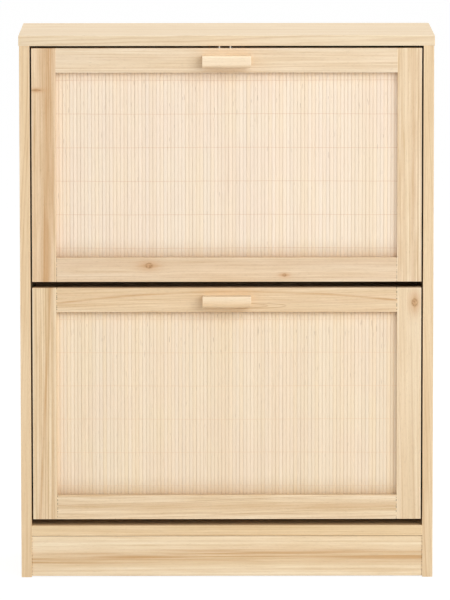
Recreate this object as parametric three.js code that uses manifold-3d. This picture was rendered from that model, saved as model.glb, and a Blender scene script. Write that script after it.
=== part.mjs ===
// A tall, shallow shoe cabinet with two tilt-out compartments. Each door is a solid-wood frame
// round a panel of thin upright slats, and carries a bin: two plastic side cheeks that hold four
// thin boards, which make a front pocket and a raised rear pocket.
//
// Millimetres, +Z up. The front faces -Y and the right side is +X. The origin is on the floor,
// under the middle of the whole object, handles included.
import * as THREE from "three";
import { mergeVertices } from "three/addons/utils/BufferGeometryUtils.js";
import Module from "manifold-3d";

// ---------------------------------------------------------------- driving dimensions
const WIDTH = 600; // of the top board
const DEPTH = 240; // of the top board
const HEIGHT = 790;
const BOARD = 15; // thickness of every carcass board
const TOP_OVERHANG = 1; // top board past the carcass, at the front and at each side

const SHELF_TOP = 76; // upper face of the bottom shelf
const FOOT_LIFT = 1.5; // plinth and rear foot rail above the floor
const PLINTH_SETBACK = 2;
const STRETCHER_HEIGHT = 60;

const DOOR_GAP = { bottom: 9.5, middle: 9, top: 3.5, side: 2.5 };
const DOOR_THICKNESS = 16;
const FRAME_WIDTH = 35; // stiles and rails, seen from the front
const REBATE = 6.5; // how far the panel runs behind the frame
const RECESS = 10; // from the frame's face back to the panel's face
const FIT = 0.25; // clearance round a piece that sits in a pocket

const SLAT = { count: 97, thickness: 2.5, groove: 0.9, shoulder: 0.9 };
const BACKING = 3;

const HANDLE = {
  length: 70,
  height: 16.5,
  drop: 0.8, // of its middle below the rail's middle
  projection: 24,
  undercut: 4,
  topCorner: 2, // radii of the nose
  bottomCorner: 5,
};
const SCREW = { spacing: 32, radius: 2, head: 4, headHeight: 2.5, bite: 14, hole: 2.25 };

const PIVOT = { y: 26, z: 50 }; // from the door's lower front edge
const PIN = { radius: 5, hole: 5.3 };
const LUG = { radius: 3, slot: 3.3, orbit: 30, start: 20 }; // start is in degrees above +Y
const OPENING_ANGLE = 48; // degrees

const CHEEK = {
  outer: 278, // distance of its outer face from the cabinet's middle plane
  thickness: 3.5,
  radius: 236, // of its top edge, about the pivot
  bottom: 16,
  rear: 208,
  flange: { width: 24, thickness: 3, top: 282 },
  channel: { depth: 6, wall: 2 },
};
const BRACKET = { thickness: 4, reach: 44, corner: 9, screwRadius: 2.1 };

const BACK = { thickness: 3, rebateDepth: 6, rebateWidth: 7, bottom: 20, joint: 428 };
const STRIP = { web: 2, flange: 1, height: 14 };
const CATCH = { length: 46, depth: 18, height: 13, poleSpacing: 16, poleWidth: 1.5 };
const STRIKE = { length: 44, width: 12, thickness: 1 };
const BUFFER = { width: 2, depth: 8, height: 3, spacing: 16, middle: -2.5 };

// ---------------------------------------------------------------- derived places
const CARCASS_DEPTH = DEPTH - TOP_OVERHANG;
const FRONT = (HANDLE.projection - CARCASS_DEPTH) / 2; // front plane of carcass and doors
const REAR = FRONT + CARCASS_DEPTH;
const TOP_UNDERSIDE = HEIGHT - BOARD;
const OUTER = WIDTH / 2 - TOP_OVERHANG; // half the carcass width
const INNER = OUTER - BOARD; // half the clear width inside
const BACK_FRONT = REAR - BACK.rebateDepth; // front face of the back panels
const RAIL_FRONT = BACK_FRONT - BOARD; // front face of the rails against the back

const DOOR_WIDTH = 2 * (INNER - DOOR_GAP.side);
const DOOR_HEIGHT =
  (TOP_UNDERSIDE - SHELF_TOP - DOOR_GAP.bottom - DOOR_GAP.middle - DOOR_GAP.top) / 2;
const LOWER_DOOR = SHELF_TOP + DOOR_GAP.bottom;
const UPPER_DOOR = LOWER_DOOR + DOOR_HEIGHT + DOOR_GAP.middle;
const OPENING_HALF = DOOR_WIDTH / 2 - FRAME_WIDTH; // half the panel opening's width
const PANEL_HALF = OPENING_HALF + REBATE;
const PANEL_BOTTOM = FRAME_WIDTH - REBATE;
const PANEL_TOP = DOOR_HEIGHT - PANEL_BOTTOM;
const HANDLE_Z = DOOR_HEIGHT - FRAME_WIDTH / 2 - HANDLE.drop;

// The bin's thin boards, in the door's own frame: [y from, y to, z from, z to].
const BIN_BOARDS = {
  front_shelf: [16.5, 107, 22, 27],
  divider: [107, 112, 22, 190],
  rear_shelf: [112, 200, 85, 90],
  rear_stop: [200, 205, 85, 198],
};

// ---------------------------------------------------------------- materials
const finish = (color, roughness, metalness = 0) =>
  new THREE.MeshStandardMaterial({ color, roughness, metalness });
const CARCASS_WOOD = finish(0xe8cfa6, 0.55);
const FRAME_WOOD = finish(0xe6cba4, 0.6);
const HANDLE_WOOD = finish(0xf6e2c2, 0.55);
const BAMBOO = finish(0xf2dfc6, 0.6);
const BACK_BOARD = finish(0xd9c3a0, 0.8);
const BIN_BOARD = finish(0xe6cfaa, 0.6);
const BLACK_PLASTIC = finish(0x1c1b1a, 0.5);
const WHITE_PLASTIC = finish(0xe9e4da, 0.45);
const BROWN_PLASTIC = finish(0x4b3524, 0.5);
const STEEL = finish(0xb9bcc0, 0.35, 1);

// ---------------------------------------------------------------- solids
const wasm = await Module();
wasm.setup();

function toSolid(geometry) {
  const bare = new THREE.BufferGeometry();
  bare.setAttribute("position", geometry.getAttribute("position"));
  if (geometry.index) bare.setIndex(geometry.index);
  const merged = mergeVertices(bare, 1e-4);
  return new wasm.Manifold(
    new wasm.Mesh({
      numProp: 3,
      vertProperties: new Float32Array(merged.getAttribute("position").array),
      triVerts: new Uint32Array(merged.index.array),
    }),
  );
}

function toGeometry(solid) {
  const { vertProperties, triVerts } = solid.getMesh();
  const geometry = new THREE.BufferGeometry();
  geometry.setAttribute("position", new THREE.BufferAttribute(vertProperties, 3));
  geometry.setIndex(new THREE.BufferAttribute(triVerts, 1));
  geometry.computeVertexNormals();
  return geometry;
}

const join = (first, ...others) =>
  toGeometry(others.reduce((sum, g) => sum.add(toSolid(g)), toSolid(first)));
const cut = (body, ...tools) =>
  toGeometry(tools.reduce((rest, g) => rest.subtract(toSolid(g)), toSolid(body)));

/** A block that fills the given ranges along X, Y and Z. */
function block([x0, x1], [y0, y1], [z0, z1]) {
  const geometry = new THREE.BoxGeometry(x1 - x0, y1 - y0, z1 - z0);
  return geometry.translate((x0 + x1) / 2, (y0 + y1) / 2, (z0 + z1) / 2);
}

const symmetric = (half) => [-half, half];
const grown = ([from, to], by) => [from - by, to + by];
const around = (middle, half) => [middle - half, middle + half];

// Turns an outline drawn in (Y, Z) and extruded along its normal into one extruded along X.
const OUTLINE_TO_X = new THREE.Matrix4().makeBasis(
  new THREE.Vector3(0, 1, 0),
  new THREE.Vector3(0, 0, 1),
  new THREE.Vector3(1, 0, 0),
);

/** The points of a path, without the doubled ones where two of its curves meet. */
function pointsOf(path, divisions) {
  const points = path.getPoints(divisions);
  const apart = (a, b) => a.distanceTo(b) > 1e-3;
  return points.filter((p, i) => apart(p, points[(i + points.length - 1) % points.length]));
}

function shapeOf(outline, holes = [], divisions = 8) {
  const shape = new THREE.Shape(pointsOf(outline, divisions));
  shape.holes = holes.map((hole) => new THREE.Path(pointsOf(hole, divisions)));
  return shape;
}

function extrudeX(shape, [x0, x1]) {
  const options = { depth: x1 - x0, bevelEnabled: false };
  const geometry = new THREE.ExtrudeGeometry(shape, options);
  return geometry.applyMatrix4(OUTLINE_TO_X).translate(x0, 0, 0);
}

/** A cylinder along X or Y that spans the given range, centred on the other two coordinates. */
function rod(axis, radius, [from, to], a, b, sides = 32) {
  const geometry = new THREE.CylinderGeometry(radius, radius, to - from, sides);
  const middle = (from + to) / 2;
  return axis === "x"
    ? geometry.rotateZ(Math.PI / 2).translate(middle, a, b)
    : geometry.translate(a, middle, b);
}

function roundedRectangle([y0, y1], [z0, z1], r) {
  const path = new THREE.Path();
  path.absarc(y1 - r, z1 - r, r, 0, Math.PI / 2, false);
  path.absarc(y0 + r, z1 - r, r, Math.PI / 2, Math.PI, false);
  path.absarc(y0 + r, z0 + r, r, Math.PI, 1.5 * Math.PI, false);
  path.absarc(y1 - r, z0 + r, r, 1.5 * Math.PI, 2 * Math.PI, false);
  return path;
}

function circle(y, z, radius) {
  return new THREE.Path().absarc(y, z, radius, 0, 2 * Math.PI, false);
}

/** A curved slot round the origin, with round ends, between two angles in radians. */
function arcSlot(orbit, halfWidth, start, end) {
  const path = new THREE.Path();
  const at = (angle) => [orbit * Math.cos(angle), orbit * Math.sin(angle)];
  path.absarc(0, 0, orbit + halfWidth, start, end, false);
  path.absarc(...at(end), halfWidth, end, end + Math.PI, false);
  path.absarc(0, 0, orbit - halfWidth, end, start, true);
  path.absarc(...at(start), halfWidth, start + Math.PI, start + 2 * Math.PI, false);
  return path;
}

const cabinet = new THREE.Group();

function add(group, name, geometry, material) {
  const mesh = new THREE.Mesh(geometry, material);
  mesh.name = name;
  group.add(mesh);
  return mesh;
}

// ---------------------------------------------------------------- carcass
function sidePanel(side) {
  const rebated = INNER + BACK.rebateWidth;
  const plan = [
    [INNER, FRONT],
    [OUTER, FRONT],
    [OUTER, REAR],
    [rebated, REAR],
    [rebated, BACK_FRONT],
    [INNER, BACK_FRONT],
  ].map(([x, y]) => new THREE.Vector2(side * x, y));
  const options = { depth: TOP_UNDERSIDE, bevelEnabled: false };
  return new THREE.ExtrudeGeometry(new THREE.Shape(plan), options);
}

/** The strip of H section that joins the two back panels. */
function jointStrip() {
  const front = BACK_FRONT - STRIP.flange;
  const rear = BACK_FRONT + BACK.thickness + STRIP.flange;
  const half = STRIP.height / 2;
  const tall = around(BACK.joint, half);
  const length = symmetric(INNER - 0.5);
  return join(
    block(length, [front, rear], around(BACK.joint, STRIP.web / 2)),
    block(length, [front, BACK_FRONT], tall),
    block(length, [rear - STRIP.flange, rear], tall),
  );
}

function buildCarcass() {
  const carcass = new THREE.Group();
  const inside = symmetric(INNER);
  const board = (name, x, y, z) => add(carcass, name, block(x, y, z), CARCASS_WOOD);

  board("top_board", symmetric(WIDTH / 2), [REAR - DEPTH, REAR], [TOP_UNDERSIDE, HEIGHT]);
  add(carcass, "side_panel_left", sidePanel(-1), CARCASS_WOOD);
  add(carcass, "side_panel_right", sidePanel(1), CARCASS_WOOD);
  board("bottom_shelf", inside, [FRONT, BACK_FRONT], [SHELF_TOP - BOARD, SHELF_TOP]);

  const foot = [FOOT_LIFT, SHELF_TOP - BOARD];
  const plinthFront = FRONT + PLINTH_SETBACK;
  board("plinth_board", inside, [plinthFront, plinthFront + BOARD], foot);
  board("rear_foot_rail", inside, [RAIL_FRONT, BACK_FRONT], foot);

  const topRail = [TOP_UNDERSIDE - STRETCHER_HEIGHT, TOP_UNDERSIDE];
  board("top_rear_rail", inside, [RAIL_FRONT, BACK_FRONT], topRail);
  const middle = around(BACK.joint, STRETCHER_HEIGHT / 2);
  const stretcher = [RAIL_FRONT - STRIP.flange, BACK_FRONT - STRIP.flange];
  board("middle_stretcher", inside, stretcher, middle);

  const backWidth = symmetric(INNER + REBATE);
  const backDepth = [BACK_FRONT, BACK_FRONT + BACK.thickness];
  const web = around(BACK.joint, STRIP.web / 2);
  const lower = block(backWidth, backDepth, [BACK.bottom, web[0]]);
  const upper = block(backWidth, backDepth, [web[1], TOP_UNDERSIDE - 1]);
  add(carcass, "back_panel_lower", lower, BACK_BOARD);
  add(carcass, "back_panel_upper", upper, BACK_BOARD);
  add(carcass, "back_joint_strip", jointStrip(), WHITE_PLASTIC);
  return carcass;
}

// ---------------------------------------------------------------- pivot brackets
/** The plate on a side panel that the cheek's pin turns in, with the slot that stops its lug. */
function pivotBracket(side) {
  const start = THREE.MathUtils.degToRad(LUG.start);
  const end = THREE.MathUtils.degToRad(LUG.start + OPENING_ANGLE);
  const range = [-BRACKET.corner, BRACKET.reach];
  const outline = roundedRectangle(range, range, BRACKET.corner);
  const screws = [
    [BRACKET.reach - 7, -1],
    [-1, BRACKET.reach - 7],
    [BRACKET.reach - 8, BRACKET.reach - 8],
  ];
  const shape = shapeOf(outline, [
    circle(0, 0, PIN.hole),
    arcSlot(LUG.orbit, LUG.slot, start, end),
    ...screws.map(([y, z]) => circle(y, z, BRACKET.screwRadius)),
  ]);
  const faces = [side * (INNER - BRACKET.thickness), side * INNER];
  return extrudeX(shape, faces.sort((a, b) => a - b));
}

function buildBrackets(prefix, doorBottom) {
  const brackets = new THREE.Group();
  brackets.position.set(0, FRONT + PIVOT.y, doorBottom + PIVOT.z);
  add(brackets, `${prefix}_bracket_left`, pivotBracket(-1), BLACK_PLASTIC);
  add(brackets, `${prefix}_bracket_right`, pivotBracket(1), BLACK_PLASTIC);
  return brackets;
}

// ---------------------------------------------------------------- magnetic catches
/**
 * A catch that faces -Y with its pole tips at y = 0. It is drawn hanging from z = 0, and the
 * matrix turns it onto another face.
 */
function buildCatch(prefix, matrix, position) {
  const magnet = new THREE.Group();
  magnet.position.copy(position);
  const setBack = 2; // pole tips stand this far out of the housing
  const poleHeight = [-11, -3];
  const pole = (side) => [
    around((side * CATCH.poleSpacing) / 2, CATCH.poleWidth / 2),
    [0, CATCH.depth - 4],
    poleHeight,
  ];
  const socket = (side) => {
    const [x, y, z] = pole(side);
    return block(grown(x, FIT), [-1, y[1] + FIT], grown(z, FIT));
  };
  const housing = block(symmetric(CATCH.length / 2), [setBack, CATCH.depth], [-CATCH.height, 0]);
  const pieces = [
    ["housing", cut(housing, socket(-1), socket(1)), BROWN_PLASTIC],
    ["pole_a", block(...pole(-1)), STEEL],
    ["pole_b", block(...pole(1)), STEEL],
  ];
  for (const [name, geometry, material] of pieces) {
    add(magnet, `${prefix}_catch_${name}`, geometry.applyMatrix4(matrix), material);
  }
  return magnet;
}

const HANGING = new THREE.Matrix4();
const ON_RIGHT_SIDE = new THREE.Matrix4().makeBasis(
  new THREE.Vector3(0, 0, -1),
  new THREE.Vector3(0, 1, 0),
  new THREE.Vector3(1, 0, 0),
);

// ---------------------------------------------------------------- doors
/** The space behind the frame that holds the slat panel and its backing board. */
const panelPocket = () =>
  block(
    symmetric(PANEL_HALF + FIT),
    [RECESS, DOOR_THICKNESS + 1],
    grown([PANEL_BOTTOM, PANEL_TOP], FIT),
  );

const screwHole = (side, [from, to]) =>
  rod("y", SCREW.hole, [from, to], side * (SCREW.spacing / 2), HANDLE_Z, 20);

function buildFrame(door, prefix) {
  const depth = [0, DOOR_THICKNESS];
  const half = DOOR_WIDTH / 2;
  const rail = (z) => block(symmetric(OPENING_HALF), depth, z);
  const stile = (x) => cut(block(x, depth, [0, DOOR_HEIGHT]), panelPocket());
  const through = [-1, DOOR_THICKNESS + 1];
  const topRail = cut(
    rail([DOOR_HEIGHT - FRAME_WIDTH, DOOR_HEIGHT]),
    panelPocket(),
    screwHole(-1, through),
    screwHole(1, through),
  );
  add(door, `${prefix}_stile_left`, stile([-half, -OPENING_HALF]), FRAME_WOOD);
  add(door, `${prefix}_stile_right`, stile([OPENING_HALF, half]), FRAME_WOOD);
  add(door, `${prefix}_rail_top`, topRail, FRAME_WOOD);
  add(door, `${prefix}_rail_bottom`, cut(rail([0, FRAME_WIDTH]), panelPocket()), FRAME_WOOD);
}

/** One sheet of upright slats: the plan outline has a V groove between each slat and the next. */
function slatSheet() {
  const pitch = (2 * PANEL_HALF) / SLAT.count;
  const rear = RECESS + SLAT.thickness;
  const plan = [new THREE.Vector2(-PANEL_HALF, rear)];
  for (let i = 0; i < SLAT.count; i++) {
    const left = -PANEL_HALF + i * pitch;
    plan.push(new THREE.Vector2(left, RECESS + SLAT.groove));
    plan.push(new THREE.Vector2(left + SLAT.shoulder, RECESS));
    plan.push(new THREE.Vector2(left + pitch - SLAT.shoulder, RECESS));
  }
  plan.push(new THREE.Vector2(PANEL_HALF, RECESS + SLAT.groove));
  plan.push(new THREE.Vector2(PANEL_HALF, rear));
  const options = { depth: PANEL_TOP - PANEL_BOTTOM, bevelEnabled: false };
  const sheet = new THREE.ExtrudeGeometry(new THREE.Shape(plan), options);
  return sheet.translate(0, 0, PANEL_BOTTOM);
}

/** A bar with a rounded lower nose, and an underside that rises towards the door. */
function handleBar() {
  const { length, height, projection, undercut, topCorner, bottomCorner } = HANDLE;
  const top = HANDLE_Z + height / 2;
  const bottom = HANDLE_Z - height / 2;
  const quarter = Math.PI / 2;
  const outline = new THREE.Path();
  outline.moveTo(0, top);
  outline.lineTo(topCorner - projection, top);
  for (const [radius, z, start] of [
    [topCorner, top - topCorner, quarter],
    [bottomCorner, bottom + bottomCorner, 2 * quarter],
  ]) {
    outline.absarc(radius - projection, z, radius, start, start + quarter, false);
  }
  outline.lineTo(2 * bottomCorner - projection, bottom);
  outline.lineTo(0, bottom + undercut);
  const bar = extrudeX(shapeOf(outline), symmetric(length / 2));
  const blind = [-SCREW.bite - 1, 1];
  return cut(bar, screwHole(-1, blind), screwHole(1, blind));
}

function handleScrew(side) {
  const x = side * (SCREW.spacing / 2);
  const head = [DOOR_THICKNESS, DOOR_THICKNESS + SCREW.headHeight];
  return join(
    rod("y", SCREW.head, head, x, HANDLE_Z, 24),
    rod("y", SCREW.radius, [-SCREW.bite, DOOR_THICKNESS + 1], x, HANDLE_Z, 16),
  );
}

function buildDoor(door, prefix) {
  buildFrame(door, prefix);
  add(door, `${prefix}_slat_panel`, slatSheet(), BAMBOO);
  const backing = [RECESS + SLAT.thickness, RECESS + SLAT.thickness + BACKING];
  const backingBoard = block(symmetric(PANEL_HALF), backing, [PANEL_BOTTOM, PANEL_TOP]);
  add(door, `${prefix}_backing_board`, backingBoard, BACK_BOARD);
  add(door, `${prefix}_handle`, handleBar(), HANDLE_WOOD);
  add(door, `${prefix}_handle_screw_left`, handleScrew(-1), STEEL);
  add(door, `${prefix}_handle_screw_right`, handleScrew(1), STEEL);
}

// ---------------------------------------------------------------- bins
/** The cheek's plate: straight in front, below and behind, and round about the pivot on top. */
function cheekPlate(faces) {
  const { radius, bottom, rear } = CHEEK;
  const front = DOOR_THICKNESS;
  const angleAt = (y) => Math.acos((y - PIVOT.y) / radius);
  const outline = new THREE.Path();
  outline.moveTo(front, bottom);
  outline.lineTo(100, bottom);
  outline.lineTo(rear, BIN_BOARDS.rear_shelf[2] - 9);
  outline.absarc(PIVOT.y, PIVOT.z, radius, angleAt(rear), angleAt(front), false);
  const windows = [
    roundedRectangle([38, 94], [100, 168], 9),
    roundedRectangle([38, 98], [184, 244], 9),
    roundedRectangle([124, 188], [108, 172], 9),
  ];
  return extrudeX(shapeOf(outline, windows, 14), faces);
}

function cheek(side) {
  const { outer, thickness, flange, channel } = CHEEK;
  const across = (from, to) => [side * from, side * to].sort((a, b) => a - b);
  const inner = outer - thickness;
  const plate = cheekPlate(across(inner, outer));
  const boards = Object.values(BIN_BOARDS);
  const walls = boards.map(([y0, y1, z0, z1]) =>
    block(
      across(inner - channel.depth, inner + 1),
      [Math.max(y0 - channel.wall, DOOR_THICKNESS), y1 + channel.wall],
      grown([z0, z1], channel.wall),
    ),
  );
  const slots = boards.map(([y0, y1, z0, z1]) =>
    block(across(0, inner), grown([y0, y1], FIT), [z0 - FIT, z1 + 60]),
  );
  const open = boards.map(([y0, y1, z0, z1]) =>
    block(across(0, inner), grown([y0, y1], FIT), grown([z0, z1], FIT)),
  );
  const flangePlate = block(
    across(outer - flange.width, outer),
    [DOOR_THICKNESS, DOOR_THICKNESS + flange.thickness],
    [CHEEK.bottom, flange.top],
  );
  const gussets = [90, 175, 250].map((z) =>
    block(across(inner - 9, inner + 1), [DOOR_THICKNESS + 1, 28], [z, z + 2]),
  );
  const lugAngle = THREE.MathUtils.degToRad(LUG.start);
  const lugY = PIVOT.y + LUG.orbit * Math.cos(lugAngle);
  const lugZ = PIVOT.z + LUG.orbit * Math.sin(lugAngle);
  const reach = across(outer - 1, INNER - 0.5);
  const body = join(
    plate,
    flangePlate,
    ...walls,
    ...gussets,
    rod("x", PIN.radius, reach, PIVOT.y, PIVOT.z),
    rod("x", LUG.radius, reach, lugY, lugZ, 24),
  );
  const screwX = side * (outer - flange.width / 2 - 2);
  const screwHoles = [60, 150, 240].map((z) => rod("y", 2.1, [15, 20], screwX, z, 16));
  return cut(body, ...open, slots[1], slots[3], ...screwHoles);
}

function buildBin(door, prefix) {
  add(door, `${prefix}_cheek_left`, cheek(-1), BLACK_PLASTIC);
  add(door, `${prefix}_cheek_right`, cheek(1), BLACK_PLASTIC);
  const half = CHEEK.outer - CHEEK.thickness - FIT;
  for (const [name, [y0, y1, z0, z1]] of Object.entries(BIN_BOARDS)) {
    add(door, `${prefix}_${name}`, block(symmetric(half), [y0, y1], [z0, z1]), BIN_BOARD);
  }
}

/** A door with its bin, drawn from the door's lower front edge. */
function buildTiltDoor(prefix, doorBottom) {
  const door = new THREE.Group();
  door.position.set(0, FRONT, doorBottom);
  buildDoor(door, prefix);
  buildBin(door, prefix);
  return door;
}

// ---------------------------------------------------------------- the whole cabinet
const strikeDepth = [DOOR_THICKNESS, DOOR_THICKNESS + STRIKE.thickness];
const poleTips = FRONT + strikeDepth[1] + FIT;

cabinet.add(buildCarcass());
cabinet.add(buildBrackets("upper", UPPER_DOOR));
cabinet.add(buildBrackets("lower", LOWER_DOOR));

// The upper catch hangs from the top board. Its strike plate and two soft buffers are on the rail.
const upperDoor = buildTiltDoor("upper", UPPER_DOOR);
const railTop = DOOR_HEIGHT - 1;
add(
  upperDoor,
  "upper_strike_plate",
  block(symmetric(STRIKE.length / 2), strikeDepth, [railTop - STRIKE.width, railTop]),
  STEEL,
);
for (const [name, side] of Object.entries({ left: -1, right: 1 })) {
  const x = around(BUFFER.middle + (side * BUFFER.spacing) / 2, BUFFER.width / 2);
  const y = [1, 1 + BUFFER.depth];
  const z = [DOOR_HEIGHT, DOOR_HEIGHT + BUFFER.height];
  add(upperDoor, `upper_buffer_${name}`, block(x, y, z), WHITE_PLASTIC);
}
cabinet.add(upperDoor);
cabinet.add(buildCatch("upper", HANGING, new THREE.Vector3(0, poleTips, TOP_UNDERSIDE)));

// The lower catch is on the right side panel. Its strike plate is on the stile.
const lowerDoor = buildTiltDoor("lower", LOWER_DOOR);
const catchZ = DOOR_HEIGHT - 2 - CATCH.length / 2; // its middle, from the door's lower edge
const strikeAcross = [CHEEK.outer - STRIKE.width, CHEEK.outer];
add(
  lowerDoor,
  "lower_strike_plate",
  block(strikeAcross, strikeDepth, around(catchZ, STRIKE.length / 2)),
  STEEL,
);
cabinet.add(lowerDoor);
const sidePlace = new THREE.Vector3(INNER, poleTips, LOWER_DOOR + catchZ);
cabinet.add(buildCatch("lower", ON_RIGHT_SIDE, sidePlace));

export default cabinet;
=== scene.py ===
"""Looks of the shoe cabinet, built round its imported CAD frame.

Metres, +Z up, the front faces -Y. Boards, cheeks and fittings are the CAD nodes with softened
edges. The slat panels are rebuilt slat by slat, with their threads, and small fixings are added.
"""

import itertools
import math
import random

import bmesh
import bpy
from mathutils import Euler, Matrix, Vector


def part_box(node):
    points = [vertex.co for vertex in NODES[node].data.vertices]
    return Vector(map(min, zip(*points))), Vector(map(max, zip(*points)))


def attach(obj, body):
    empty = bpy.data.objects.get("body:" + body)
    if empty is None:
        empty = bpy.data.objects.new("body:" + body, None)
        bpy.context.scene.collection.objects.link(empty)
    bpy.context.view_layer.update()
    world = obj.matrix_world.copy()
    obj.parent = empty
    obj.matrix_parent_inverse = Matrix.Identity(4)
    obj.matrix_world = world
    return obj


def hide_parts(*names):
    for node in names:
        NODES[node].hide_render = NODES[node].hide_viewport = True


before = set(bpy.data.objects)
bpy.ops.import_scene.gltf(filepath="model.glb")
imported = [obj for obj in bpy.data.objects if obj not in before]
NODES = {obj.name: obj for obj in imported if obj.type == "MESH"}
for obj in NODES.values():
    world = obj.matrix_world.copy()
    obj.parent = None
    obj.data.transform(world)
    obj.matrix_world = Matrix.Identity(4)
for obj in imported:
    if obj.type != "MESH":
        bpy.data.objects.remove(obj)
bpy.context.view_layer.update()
MM = 0.001
DOORS = ("upper", "lower")
SIDES = (("left", -1), ("right", 1))


# ------------------------------------------------------------------ shader maths
def rgb(red, green, blue):
    """A linear colour from 0-255 display values."""

    def linear(value):
        value /= 255
        return value / 12.92 if value <= 0.04045 else ((value + 0.055) / 1.055) ** 2.4

    return (linear(red), linear(green), linear(blue), 1.0)


class Value:
    """The output of a shader node, so that node maths reads as a formula."""

    def __init__(self, graph, socket):
        self.graph = graph
        self.socket = socket

    def __add__(self, other):
        return self.graph.math("ADD", self, other)

    def __sub__(self, other):
        return self.graph.math("SUBTRACT", self, other)

    def __rsub__(self, other):
        return self.graph.math("SUBTRACT", other, self)

    def __mul__(self, other):
        return self.graph.math("MULTIPLY", self, other)

    def __truediv__(self, other):
        return self.graph.math("DIVIDE", self, other)

    __radd__ = __add__
    __rmul__ = __mul__


def squared(value):
    return value * value


class Graph:
    """Builds nodes in one shader tree."""

    def __init__(self, tree):
        self.tree = tree

    def node(self, kind, **settings):
        made = self.tree.nodes.new("ShaderNode" + kind)
        for name, value in settings.items():
            setattr(made, name, value)
        return made

    def put(self, socket, value):
        if isinstance(value, Value):
            self.tree.links.new(value.socket, socket)
        else:
            socket.default_value = value

    def math(self, operation, *values):
        made = self.node("Math", operation=operation)
        for socket, value in zip(made.inputs, values):
            self.put(socket, value)
        return Value(self, made.outputs[0])

    def floor(self, value):
        return self.math("FLOOR", value)

    def absolute(self, value):
        return self.math("ABSOLUTE", value)

    def root(self, value):
        return self.math("SQRT", value)

    def bell(self, square):
        """1 where square is 0, falling smoothly to 0 as it grows."""
        return self.math("EXPONENT", square * -1.0)

    def step(self, value, start, end):
        """0 at start, 1 at end, smooth between them."""
        made = self.node("MapRange", interpolation_type="SMOOTHSTEP")
        for socket, item in zip(made.inputs, (value, start, end, 0.0, 1.0)):
            self.put(socket, item)
        return Value(self, made.outputs[0])

    def vector(self, x, y, z):
        made = self.node("CombineXYZ")
        for socket, value in zip(made.inputs, (x, y, z)):
            self.put(socket, value)
        return Value(self, made.outputs[0])

    def split(self, vector):
        made = self.node("SeparateXYZ")
        self.put(made.inputs[0], vector)
        return [Value(self, out) for out in made.outputs]

    def noise(self, vector, detail=1.0, roughness=0.5):
        made = self.node("TexNoise")
        self.put(made.inputs["Vector"], vector)
        self.put(made.inputs["Scale"], 1.0)
        self.put(made.inputs["Detail"], detail)
        self.put(made.inputs["Roughness"], roughness)
        return Value(self, made.outputs["Fac"])

    def chance(self, value):
        """A random number from 0 to 1 for each whole value."""
        made = self.node("TexWhiteNoise", noise_dimensions="1D")
        self.put(made.inputs["W"], value)
        return Value(self, made.outputs["Value"])

    def cells(self, vector):
        """Distance to the nearest of scattered points."""
        made = self.node("TexVoronoi")
        self.put(made.inputs["Vector"], vector)
        self.put(made.inputs["Scale"], 1.0)
        return Value(self, made.outputs["Distance"])

    def mix(self, factor, first, second):
        made = self.node("Mix", data_type="RGBA")
        self.put(made.inputs[0], factor)
        self.put(made.inputs[6], first)
        self.put(made.inputs[7], second)
        return Value(self, made.outputs[2])

    def scale(self, colour, factor):
        made = self.node("VectorMath", operation="SCALE")
        self.put(made.inputs[0], colour)
        self.put(made.inputs["Scale"], factor)
        return Value(self, made.outputs[0])

    def tinted(self, colour, factors):
        made = self.node("VectorMath", operation="MULTIPLY")
        self.put(made.inputs[0], colour)
        self.put(made.inputs[1], factors)
        return Value(self, made.outputs[0])

    def place(self):
        """Object coordinates in millimetres, the shared frame with the doors closed."""
        made = self.node("TexCoord")
        return self.split(self.scale(Value(self, made.outputs["Object"]), 1000.0))


def new_material(name):
    material = bpy.data.materials.new(name)
    material.use_nodes = True
    material.node_tree.nodes.clear()
    return material, Graph(material.node_tree)


def surface(graph, colour, roughness, height, **constants):
    """Ends a material: a Principled shader with bump from height, in millimetres."""
    shader = graph.node("BsdfPrincipled")
    graph.put(shader.inputs["Base Color"], colour)
    graph.put(shader.inputs["Roughness"], roughness)
    for name, value in constants.items():
        shader.inputs[name.replace("_", " ")].default_value = value
    bump = graph.node("Bump")
    bump.inputs["Strength"].default_value = 1.0
    bump.inputs["Distance"].default_value = MM
    graph.put(bump.inputs["Height"], height)
    graph.tree.links.new(bump.outputs[0], shader.inputs["Normal"])
    output = graph.node("OutputMaterial")
    graph.tree.links.new(shader.outputs[0], output.inputs["Surface"])


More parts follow.
